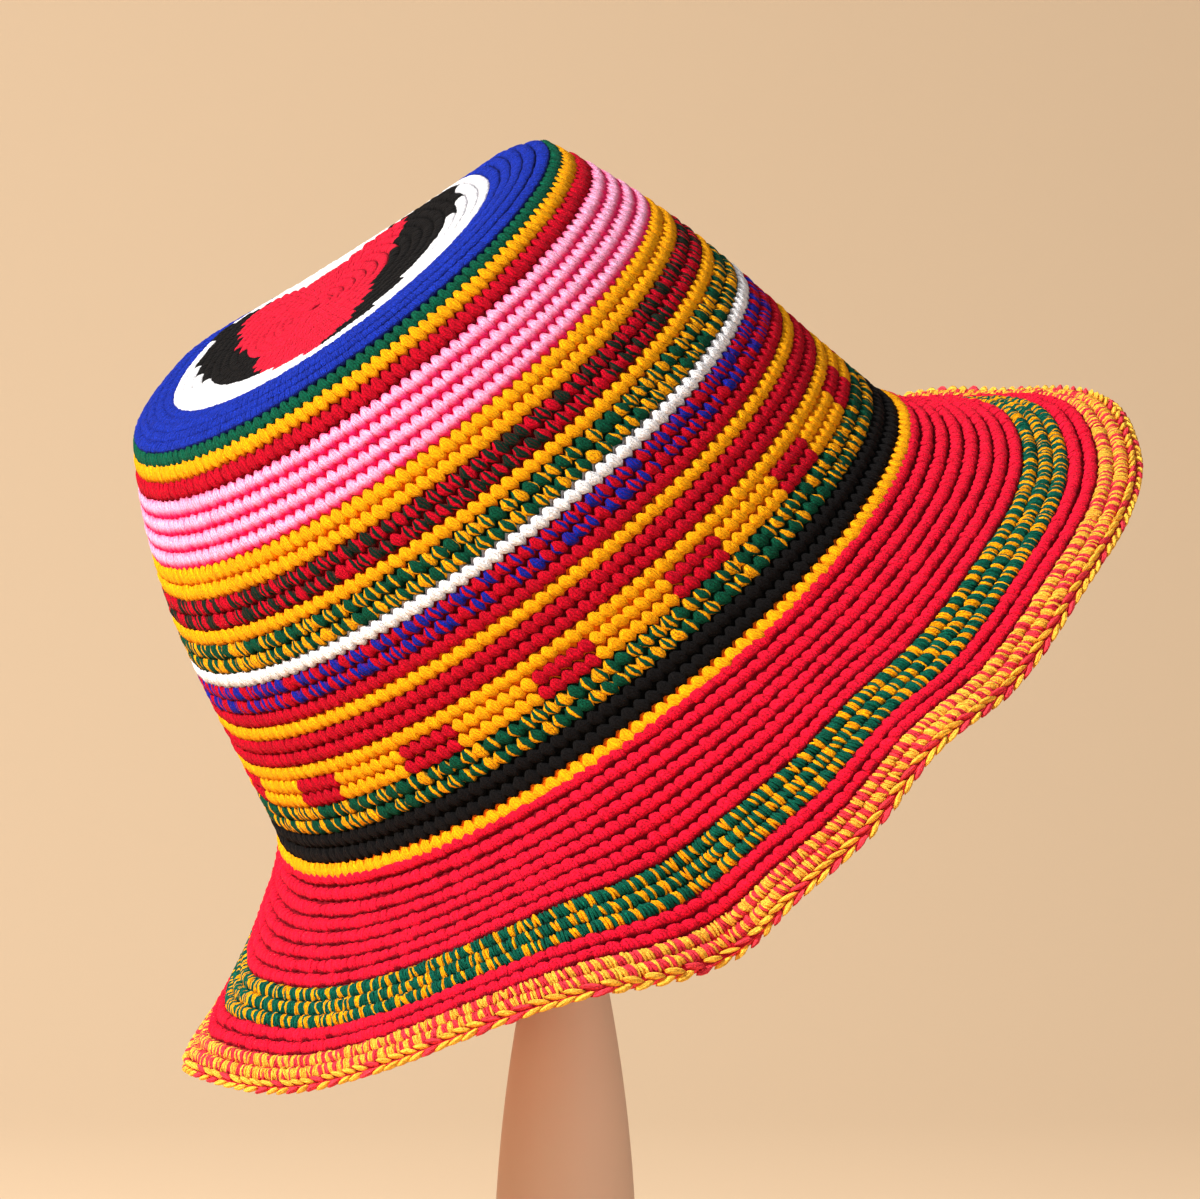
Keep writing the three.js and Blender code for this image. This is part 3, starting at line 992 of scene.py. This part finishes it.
@dataclass
class Backing:
    """The closed wall of fabric behind a stretch of stitches, whose inside shows the wrong side's ridges.

    Its yarns are (end, yarn) rows in rising order: each yarn colours the wall up to its end.
    Its outer skin, seen in the gaps between the stitches, takes each yarn's painted shade colour.
    """

    name: str
    slot: str
    node: str
    yarns: Sequence[tuple[float, YarnFinish]]
    start: float
    end: float
    outer_depth: float = 0.0014
    wall: float = 0.0042
    ridge: float = 0.0005
    round_height: float = 0.0039
    steps_per_round: int = 3
    steps_around: int = 240

    def build(self, surface: HatSurface) -> None:
        """Builds the wall between its two ends, closed at a pole where it reaches the tip's centre.

        Args:
            surface: the fabric's surface that the wall follows.
        """
        rounds = max(1, round((self.end - self.start) / self.round_height))
        stations = np.linspace(self.start, self.end, rounds * self.steps_per_round + 1)
        angles = 2 * np.pi * np.arange(self.steps_around) / self.steps_around
        centre = surface.side_length + surface.rim_radius
        pole = self.end >= centre - 1e-9
        if pole:
            stations[-1] = centre - surface.reach
        outside, inside = [], []
        for step, station in enumerate(stations):
            points, _, normals = surface.frames(station, angles)
            ripple = self.ridge * abs(math.sin(math.pi * step / self.steps_per_round))
            outside.append(points - normals * self.outer_depth)
            inside.append(points - normals * (self.wall - self.ridge + ripple))
        middles = (stations[:-1] + stations[1:]) / 2
        ends = [end for end, _ in self.yarns[:-1]]
        stripes = np.searchsorted(ends, middles)
        self.join(outside, inside, pole, stripes)

    def join(
        self, outside: list[np.ndarray], inside: list[np.ndarray], pole: bool, stripes: np.ndarray,
    ) -> None:
        """Joins the two skins, closes their ends and colours each stripe's faces, painting the outer skin in
        shade.

        Args:
            outside: the outer skin's rows of points.
            inside: the inner skin's rows of points.
            pole: whether the skins close at the tip's centre.
            stripes: which yarn each step between two rows has.
        """
        around = self.steps_around
        rows = outside + inside[::-1]
        join = len(outside) - 1
        points = np.concatenate(rows)
        turn = np.arange(around)
        after = (turn + 1) % around
        faces, yarns, sides = [], [], []
        for low in range(len(rows)):
            if pole and low == join:
                continue
            high = (low + 1) % len(rows)
            corners = ((low, turn), (low, after), (high, after), (high, turn))
            faces += np.stack([row * around + place for row, place in corners], 1).tolist()
            place = min(low, 2 * join - low) if low <= 2 * join else 0
            yarns += [int(stripes[min(place, len(stripes) - 1)])] * around
            # the map's up for each face: 0 paints the outer skin wholly in the painted shade colour, 0.5
            # leaves the inner skin mostly in the yarn's colour
            sides += [0.0 if low < join else 0.5] * around
        if pole:
            for row, flip in ((join, False), (join + 1, True)):
                hub = len(points)
                points = np.concatenate([points, points[row * around:(row + 1) * around].mean(0)[None]])
                for i in range(around):
                    a, b = row * around + i, row * around + (i + 1) % around
                    faces.append((b, a, hub) if flip else (a, b, hub))
            yarns += [int(stripes[-1])] * (2 * around)
            sides += [0.0] * around + [0.5] * around
        mesh = bpy.data.meshes.new(self.name)
        mesh.from_pydata(points.tolist(), [], faces)
        mesh.shade_smooth()
        mesh.polygons.foreach_set("material_index", yarns)
        # the map's up set here gives the outer skin its painted shade
        layer = mesh.uv_layers.new(name="stitch")
        for face in mesh.polygons:
            for corner in face.loop_indices:
                layer.data[corner].uv = (0.5, sides[face.index])
        mesh.attributes.new("lot", "FLOAT", "POINT")
        for _, yarn in self.yarns:
            mesh.materials.append(yarn.material())
        finish_piece(mesh, self.slot, self.node)


@dataclass
class Crown:
    """The crown: the tip's rounds with their motif, and the side's striped rounds."""

    tip_rounds: int = 20
    side_rounds: int = 29
    rim_count: int = 142
    base_count: int = 168
    phase_step: float = -0.25
    rim_drop: float = 0.0017
    rim_height: float = 0.0036
    tip_margin: float = 0.6
    tip_fineness: float = 1.6
    blue_reach: float = 0.75
    check_repeats: int = 14
    check_red: int = 5
    check_start: float = -152.2
    crowding: float = 0.17
    crowding_eased: float = 0.16

    CHECK_ROUNDS = (23, 24)

    # How far up the tip wall each field's yarn reaches, from its rim at 0 to its centre at 1
    TIP_FIELDS = ((0.25, BLUE_YARN), (0.42, WHITE_YARN), (0.5, BLACK_YARN), (1.0, TIP_RED_YARN))

    # Reaches of the red field and the black crescents, as shares of the rim's radius, by bearing
    MOTIF = (
        (-180, 0.34, 0.57), (-170, 0.34, 0.565), (-152, 0.38, 0.58), (-139, 0.5, 0.56), (-125, 0.58, 0.58),
        (-115, 0.62, 0.62), (-105, 0.64, 0.64), (-99, 0.61, 0.675), (-90, 0.56, 0.655), (-78, 0.46, 0.63),
        (-60, 0.35, 0.58), (-51, 0.32, 0.57), (-33, 0.31, 0.55), (-4, 0.325, 0.60), (10, 0.36, 0.67),
        (21, 0.41, 0.69), (37, 0.55, 0.69), (48, 0.53, 0.53), (60, 0.4, 0.4), (69, 0.345, 0.345),
        (80, 0.345, 0.345), (93, 0.37, 0.37), (100, 0.44, 0.44), (108, 0.54, 0.54), (115, 0.62, 0.66),
        (124, 0.59, 0.755), (139, 0.49, 0.71), (155, 0.44, 0.67), (168, 0.38, 0.6), (180, 0.34, 0.57),
    )
    STRIPES = (
        ("rim_green", GREEN_YARN, 1, 1),
        ("rim_yellow", YELLOW_YARN, 2, 2),
        ("rim_red", RED_YARN, 3, 3),
        ("pink_band", PINK_YARN, 4, 7),
        ("upper_yellow", YELLOW_YARN, 8, 9),
        ("red_green_band", RED_GREEN_MARL, 10, 11),
        ("fine_yellow", YELLOW_YARN, 12, 12),
        ("green_yellow_band", GREEN_YELLOW_MARL, 13, 14),
        ("white_line", WHITE_YARN, 15, 15),
        ("blue_red_band", BLUE_RED_MARL, 16, 17),
        ("middle_red", RED_YARN, 18, 18),
        ("middle_yellow", YELLOW_YARN, 19, 19),
        ("lower_red", RED_YARN, 20, 21),
        ("lower_yellow", YELLOW_YARN, 22, 22),
        ("lower_marl", GREEN_YELLOW_MARL, 25, 26),
        ("black_band", BLACK_YARN, 27, 28),
        ("junction_yellow", YELLOW_YARN, 29, 29),
    )

    def side_place(self, surface: HatSurface, number: float) -> float:
        """How far up from the opening a side round lies. Rounds are numbered down from the rim."""
        x = (number - 1) / (self.side_rounds - 1)
        return surface.side_length * (1 - x) * (1 - x * (self.crowding - self.crowding_eased * x))

    def side_round(self, surface: HatSurface, number: int) -> Round:
        """Lays out a round of the side.

        Args:
            surface: the fabric's surface.
            number: the round's number, down from the rim.

        Returns:
            The round.
        """
        above = self.side_place(surface, number - 0.5)
        below = self.side_place(surface, number + 0.5)
        share = (number - 1) / (self.side_rounds - 1)
        count = round(self.rim_count + (self.base_count - self.rim_count) * share)
        if number in self.CHECK_ROUNDS:
            count = self.base_count
        if number == 1:
            return Round(surface.side_length - self.rim_drop, self.rim_height, count, self.phase_step)
        return Round(self.side_place(surface, number), above - below, count, self.phase_step * number)

    def tip_round(self, surface: HatSurface, number: int) -> Round:
        """Lays out a round of the tip.

        Args:
            surface: the fabric's surface.
            number: the round's number, out from the tip's centre.

        Returns:
            The round.
        """
        height = surface.rim_radius / (self.tip_rounds + self.tip_margin)
        count = round(self.tip_fineness * self.rim_count * number / (self.tip_rounds + self.tip_margin))
        distance = surface.side_length + surface.rim_radius - number * height
        return Round(distance, height, count, self.phase_step * (1 - number))

    def motif_color(self, surface: HatSurface, row: Round, angles: np.ndarray) -> np.ndarray:
        """Reads the motif at a tip round's stitches.

        Args:
            surface: the fabric's surface.
            row: the round.
            angles: its stitches' angles.

        Returns:
            Each stitch's yarn: 0 red, 1 black, 2 white, 3 blue.
        """
        reach = (surface.side_length + surface.rim_radius - row.distance) / surface.rim_radius
        bearing = (np.degrees(angles) + 180) % 360 - 180
        rows = np.array(self.MOTIF)
        red = np.interp(bearing, rows[:, 0], rows[:, 1])
        black = np.interp(bearing, rows[:, 0], rows[:, 2])
        picked = np.where(reach <= black, 1, np.where(reach <= self.blue_reach, 2, 3))
        return np.where(reach <= red, 0, picked)

    def build(self, surface: HatSurface) -> None:
        """Works the tip, the stripes and the checked rounds, and backs them.

        Args:
            surface: the fabric's surface.
        """
        tips = [self.tip_round(surface, number) for number in range(1, self.tip_rounds + 1)]
        fields = [(share, self.smooth_yarn(yarn)) for share, yarn in self.TIP_FIELDS]
        for index, (_, yarn) in enumerate(fields[::-1]):
            wanted = lambda row, angles, index=index: self.motif_color(surface, row, angles) == index
            name = yarn.name.replace("_yarn", "")
            Band(name, "tip_yarn", yarn, tips, Build.FLAT, proud=0.0010, sink=0.0008, wanted=wanted,
                 loose=0.7, seed=40 + index).stitch(surface)
        for index, (name, yarn, first, last) in enumerate(self.STRIPES):
            rounds = [self.side_round(surface, number) for number in range(first, last + 1)]
            Band(name, "crown_yarn", yarn, rounds, seed=60 + index).stitch(surface)
        checks = [self.side_round(surface, number) for number in self.CHECK_ROUNDS]
        for name, yarn, red in (("check_red", RED_YARN, True), ("check_yellow", YELLOW_YARN, False)):
            wanted = lambda row, angles, red=red: self.in_block(row, angles) == red
            Band(name, "crown_yarn", yarn, checks, wanted=wanted, seed=90 + red).stitch(surface)
        tip_end = surface.side_length + surface.rim_radius
        tip_yarns = [(surface.side_length + share * surface.rim_radius, yarn) for share, yarn in fields]
        tip_start = surface.side_length + surface.seam_gap
        Backing("tip_wall", "tip_yarn", "crown_tip", tip_yarns, tip_start, tip_end,
                wall=surface.crown_wall, steps_per_round=2).build(surface)
        side_yarns = [
            (self.side_place(surface, first - 0.5), yarn) for _, yarn, first, _ in reversed(self.STRIPES)
        ]
        Backing("side_wall", "crown_yarn", "crown_side", side_yarns, surface.seam_gap, surface.side_length,
                wall=surface.crown_wall, steps_per_round=2).build(surface)

    def smooth_yarn(self, yarn: YarnFinish) -> YarnFinish:
        """The same yarn in the tip's flat rounds, with narrower bands of painted shade in its grooves."""
        return replace(yarn, name="tip_" + yarn.name, foot_shade_depth=0.14, head_shade_depth=0.08)

    def in_block(self, row: Round, angles: np.ndarray) -> np.ndarray:
        """Which of a checked round's stitches lie in its red blocks."""
        places = (angles - math.radians(self.check_start)) / (2 * np.pi) * row.count
        return np.floor(places % (self.base_count // self.check_repeats)) < self.check_red


@dataclass
class Brim:
    """The brim: red rounds, a marled band, the marled edging and the braided chain edge."""

    rounds: int = 16
    inner_count: int = 180
    edge_count: int = 274
    chain_count: int = 216
    phase_step: float = 0.3

    strands_per_stitch: int = 4
    marl_runs: tuple[int, int] = (4, 2)
    edge_runs: tuple[int, int] = (3, 2)
    chain_runs: tuple[int, int] = (4, 1)
    chain_angle: float = 13.0
    chain_height: float = 0.0036
    wall_inset: float = 0.0015
    edging_width: float = 0.011
    wall_steps_around: int = 288
    half_stitch: float = 0.4

    RED_STRIPES = (("brim_red", 1, 8), ("brim_outer_red", 12, 13))

    # Each leg's slant, its places in from the edge and below the outside, its roll and its phase
    CHAIN_LEGS = (("upper", -1, 0.0023, 0.0007, 22.0, 0.0), ("lower", 1, 0.0009, 0.0019, 58.0, 0.5))
    MARLS = (
        ("brim_marl_green", "brim_yarn", BRIM_GREEN_YARN, 9, 11, False),
        ("brim_marl_yellow", "brim_yarn", BRIM_YELLOW_YARN, 9, 11, True),
        ("edging_yellow", "edging_yarn", EDGE_YELLOW_YARN, 14, 15, False),
        ("edging_red", "edging_yarn", EDGE_RED_YARN, 14, 15, True),
    )

    def round_at(self, surface: HatSurface, number: int) -> Round:
        """Lays out a round of the brim.

        Args:
            surface: the fabric's surface.
            number: the round's number, out from the crown.

        Returns:
            The round.
        """
        height = surface.brim_width / self.rounds
        share = (number - 1) / (self.rounds - 1)
        count = round(self.inner_count + (self.edge_count - self.inner_count) * share)
        return Round(-(number - self.half_stitch) * height, height, count, self.phase_step * number)

    def marled(self, surface: HatSurface, number: int) -> Round:
        """A marled round, which is counted in strands."""
        row = self.round_at(surface, number)
        return Round(row.distance, row.height, row.count * self.strands_per_stitch, row.phase)

    def chain(self, surface: HatSurface) -> None:
        """Works the braided chain on the brim's edge: two rows of slim legs, of two yarns.

        Args:
            surface: the fabric's surface.
        """
        for leg, turn, inset, depth, roll, phase in self.CHAIN_LEGS:
            legs = [Round(inset - surface.brim_width, self.chain_height, self.chain_count, phase)]
            for name, yarn, second in (("yellow", EDGE_YELLOW_YARN, False), ("red", EDGE_RED_YARN, True)):
                Band(f"chain_{leg}_{name}", "edging_yarn", yarn, legs, Build.LEG, proud=0.0011, sink=depth,
                     turn=90 + turn * self.chain_angle, roll=roll, width=0.35, tall=1.55,
                     marl=Marl(*self.chain_runs, second), loose=0.6, seed=150).stitch(surface)

    def build(self, surface: HatSurface) -> None:
        """Works the rounds on both faces, the chain edge and the backing walls.

        Args:
            surface: the fabric's surface.
        """
        for index, (name, first, last) in enumerate(self.RED_STRIPES):
            rounds = [self.round_at(surface, number) for number in range(first, last + 1)]
            Band(name, "brim_yarn", BRIM_YARN, rounds, Build.CORDED, proud=0.0016, sink=0.0014,
                 loose=1.6, seed=110 + index).stitch(surface)
            self.under(surface, name, "brim_yarn", BRIM_YARN, first, last)
        for index, (name, slot, yarn, first, last, second) in enumerate(self.MARLS):
            rounds = [self.marled(surface, number) for number in range(first, last + 1)]
            runs = self.marl_runs if slot == "brim_yarn" else self.edge_runs
            Band(name, slot, yarn, rounds, Build.STRAND, proud=0.0015, sink=0.0013, marl=Marl(*runs, second),
                 loose=2.2, width=1.1, seed=120 + index).stitch(surface)
            if not second:
                self.under(surface, name, slot, yarn, first, last)
        self.chain(surface)
        edging = surface.brim_width - self.edging_width
        height = surface.brim_width / self.rounds
        yarns = [(-11 * height, BRIM_YARN), (-8 * height, BRIM_GREEN_YARN), (0.0, BRIM_YARN)]
        Backing("brim_wall", "brim_yarn", "brim", yarns, surface.seam_gap - edging, 0.0,
                wall=surface.brim_wall, steps_around=self.wall_steps_around, steps_per_round=2).build(surface)
        Backing("edging_wall", "edging_yarn", "brim_edging", [(0.0, EDGE_RED_YARN)],
                self.wall_inset - surface.brim_width, -edging,
                wall=surface.brim_wall, steps_around=self.wall_steps_around, steps_per_round=2).build(surface)

    def under(
        self, surface: HatSurface, name: str, slot: str, yarn: YarnFinish, first: int, last: int,
    ) -> None:
        """Works the wrong side of a stripe's rounds."""
        rounds = [self.round_at(surface, number) for number in range(first, last + 1)]
        Band(name + "_under", slot, yarn, rounds, Build.WRONG_SIDE, Wall.INSIDE, proud=0.0012, sink=0.0012,
             seed=130 + first).stitch(surface)


@dataclass
class Stand:
    """The turned post and the round foot, smooth and in the frame's own plain wood material."""

    slot: str = "pale_wood"
    post_radius: float = 0.0176
    rod_radius: float = 0.009
    shoulder_start: float = 0.072
    shoulder_curve: float = 0.391
    tenon_radius: float = 0.010
    tenon_length: float = 0.012
    tenon_gap: float = 0.0003
    foot_edge: float = 0.006
    post_edge: float = 0.001
    sides: int = 128
    taper_steps: int = 24
    round_steps: int = 12
    sharp_angle: float = 40.0

    def post_profile(self) -> list[tuple[float, float]]:
        """Draws the post's outline, from the tenon's end to the rod's round end.

        Returns:
            The outline's (radius, height) corners.
        """
        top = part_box("stand_post")[1].z
        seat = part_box("stand_foot")[1].z
        low = seat + self.tenon_gap
        length = math.sqrt(2 * self.shoulder_curve * (self.post_radius - self.rod_radius))
        outline = [(0.0, seat - self.tenon_length), (self.tenon_radius, seat - self.tenon_length)]
        outline += [(self.tenon_radius, low), (self.post_radius - self.post_edge, low)]
        outline += [(self.post_radius, low + self.post_edge)]
        for i in range(self.taper_steps + 1):
            rise = length * i / self.taper_steps
            radius = self.post_radius - rise**2 / (2 * self.shoulder_curve)
            outline.append((radius, self.shoulder_start + rise))
        for i in range(1, self.round_steps + 1):
            turn = math.pi / 2 * i / self.round_steps
            outline.append((self.rod_radius * math.cos(turn), top - self.rod_radius * (1 - math.sin(turn))))
        outline[-1] = (0.0, top)
        return outline

    def foot_profile(self) -> list[tuple[float, float]]:
        """Draws the foot's outline, from its underside's centre to the floor of the tenon's socket.

        Returns:
            The outline's (radius, height) corners.
        """
        low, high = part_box("stand_foot")
        radius = high.x
        socket = self.tenon_radius + self.tenon_gap
        floor = high.z - self.tenon_length - self.tenon_gap
        outline = [(0.0, low.z), (radius - self.post_edge, low.z), (radius, low.z + self.post_edge)]
        for i in range(self.round_steps + 1):
            turn = math.pi / 2 * i / self.round_steps
            reach = radius - self.foot_edge + self.foot_edge * math.cos(turn)
            outline.append((reach, high.z - self.foot_edge + self.foot_edge * math.sin(turn)))
        return outline + [(socket, high.z), (socket, floor), (0.0, floor)]

    def turned(self, name: str, outline: list[tuple[float, float]], node: str) -> None:
        """Turns an outline on the lathe and finishes it in wood.

        Args:
            name: the piece's name.
            outline: the (radius, height) corners.
            node: the node that the piece stands for.
        """
        points: list[tuple[float, float, float]] = []
        rings: list[list[int]] = []
        for radius, height in outline:
            if radius < 1e-9:
                rings.append([len(points)] * self.sides)
                points.append((0.0, 0.0, height))
                continue
            rings.append(list(range(len(points), len(points) + self.sides)))
            for i in range(self.sides):
                turn = 2 * math.pi * i / self.sides
                points.append((radius * math.cos(turn), radius * math.sin(turn), height))
        faces = []
        for low, high in zip(rings, rings[1:]):
            for i in range(self.sides):
                j = (i + 1) % self.sides
                corners = [low[i], low[j], high[j], high[i]]
                faces.append([corner for k, corner in enumerate(corners) if corner != corners[k - 1]])
        mesh = bpy.data.meshes.new(name)
        mesh.from_pydata(points, [], faces)
        mesh.validate()
        mesh.shade_smooth()
        mesh.set_sharp_from_angle(angle=math.radians(self.sharp_angle))
        mesh.materials.append(bpy.data.materials[self.slot])
        finish_piece(mesh, self.slot, node)

    def build(self) -> None:
        """Turns the post and the foot."""
        self.turned("turned_post", self.post_profile(), "stand_post")
        self.turned("turned_foot", self.foot_profile(), "stand_foot")


@dataclass
class Studio:
    """The camera at the photo's angle, a plain pale sweep and soft light from the upper left."""

    camera_from_hat: tuple[float, float, float] = (0.0029, -1.6, 0.006)
    lens: float = 193.0
    sensor: float = 36.0
    sweep_radius: float = 2.0
    sweep_back: float = 1.4
    sweep_front: float = 3.2
    sweep_width: float = 8.0
    sweep_height: float = 3.2
    sweep_color: Color = linear(225, 197, 164)
    world_color: Color = (1.0, 0.97, 0.94)
    world_strength: float = 0.19
    curve_steps: int = 24

    # Each lamp's name, place, aim or none for the hat, size, power and tint
    LAMPS = (
        ("key", (-1.35, -1.0, 1.42), None, 0.32, 86.0, (1.0, 0.97, 0.93)),
        ("fill", (1.3, -1.5, 0.7), None, 1.4, 12.5, (1.0, 0.98, 0.96)),
        ("wall_wash", (-1.4, 1.1, 2.2), (-0.3, 2.4, 0.2), 1.6, 37.0, (1.0, 0.97, 0.93)),
    )

    def camera(self, surface: HatSurface) -> None:
        """Sets the camera level, straight along +Y, at the fitted distance from the hat.

        Args:
            surface: the fabric's surface.
        """
        data = bpy.data.cameras.new("view")
        data.lens = self.lens
        data.sensor_width = self.sensor
        data.sensor_fit = "HORIZONTAL"
        data.clip_start = 0.01
        view = place_object("view", data)
        view.location = Vector(surface.origin) + Vector(self.camera_from_hat)
        view.rotation_euler = (math.pi / 2, 0, 0)
        bpy.context.scene.camera = view

    def sweep(self) -> None:
        """Lays a plain floor that curves up into a plain wall behind the hat."""
        path = [(-self.sweep_front, 0.0)]
        for i in range(self.curve_steps + 1):
            turn = math.pi / 2 * i / self.curve_steps
            back = self.sweep_back + self.sweep_radius * math.sin(turn)
            path.append((back, self.sweep_radius * (1 - math.cos(turn))))
        path.append((self.sweep_back + self.sweep_radius, self.sweep_height))
        half = self.sweep_width / 2
        points = [(x, y, z) for y, z in path for x in (-half, half)]
        faces = [(2 * i, 2 * i + 1, 2 * i + 3, 2 * i + 2) for i in range(len(path) - 1)]
        mesh = bpy.data.meshes.new("sweep")
        mesh.from_pydata(points, [], faces)
        mesh.shade_smooth()
        material, graph, shader = new_material("sweep_paint")
        graph.fill(shader, {
            "Base Color": opaque(self.sweep_color),
            "Roughness": 0.95,
            "Specular IOR Level": 0.1,
        })
        mesh.materials.append(material)
        place_object("sweep", mesh)

    def lamps(self, surface: HatSurface) -> None:
        """Hangs the large soft lamps.

        Args:
            surface: the fabric's surface.
        """
        for name, place, aim, size, power, tint in self.LAMPS:
            data = bpy.data.lights.new(name, "AREA")
            data.size = size
            data.energy = power
            data.color = tint
            lamp = place_object(name, data)
            lamp.location = place
            towards = Vector(aim or surface.origin) - Vector(place)
            lamp.rotation_euler = towards.to_track_quat("-Z", "Y").to_euler()

    def build(self, surface: HatSurface) -> None:
        """Sets up the camera, the sweep, the lamps and the even surroundings.

        Args:
            surface: the fabric's surface.
        """
        self.camera(surface)
        self.sweep()
        self.lamps(surface)
        world = bpy.data.worlds.new("studio")
        world.use_nodes = True
        surroundings = world.node_tree.nodes["Background"]
        surroundings.inputs["Color"].default_value = opaque(self.world_color)
        surroundings.inputs["Strength"].default_value = self.world_strength
        bpy.context.scene.world = world
        bpy.context.scene.view_settings.view_transform = "Standard"


def main() -> None:
    """Builds the studio, the crown, the brim and the stand in order."""
    logging.basicConfig(level=logging.INFO, format="%(message)s")
    surface = HatSurface()
    LOG.info("hat origin %s", np.round(surface.origin, 5).tolist())
    Studio().build(surface)
    Crown().build(surface)
    Brim().build(surface)
    Stand().build()


if __name__ == "__main__":
    main()
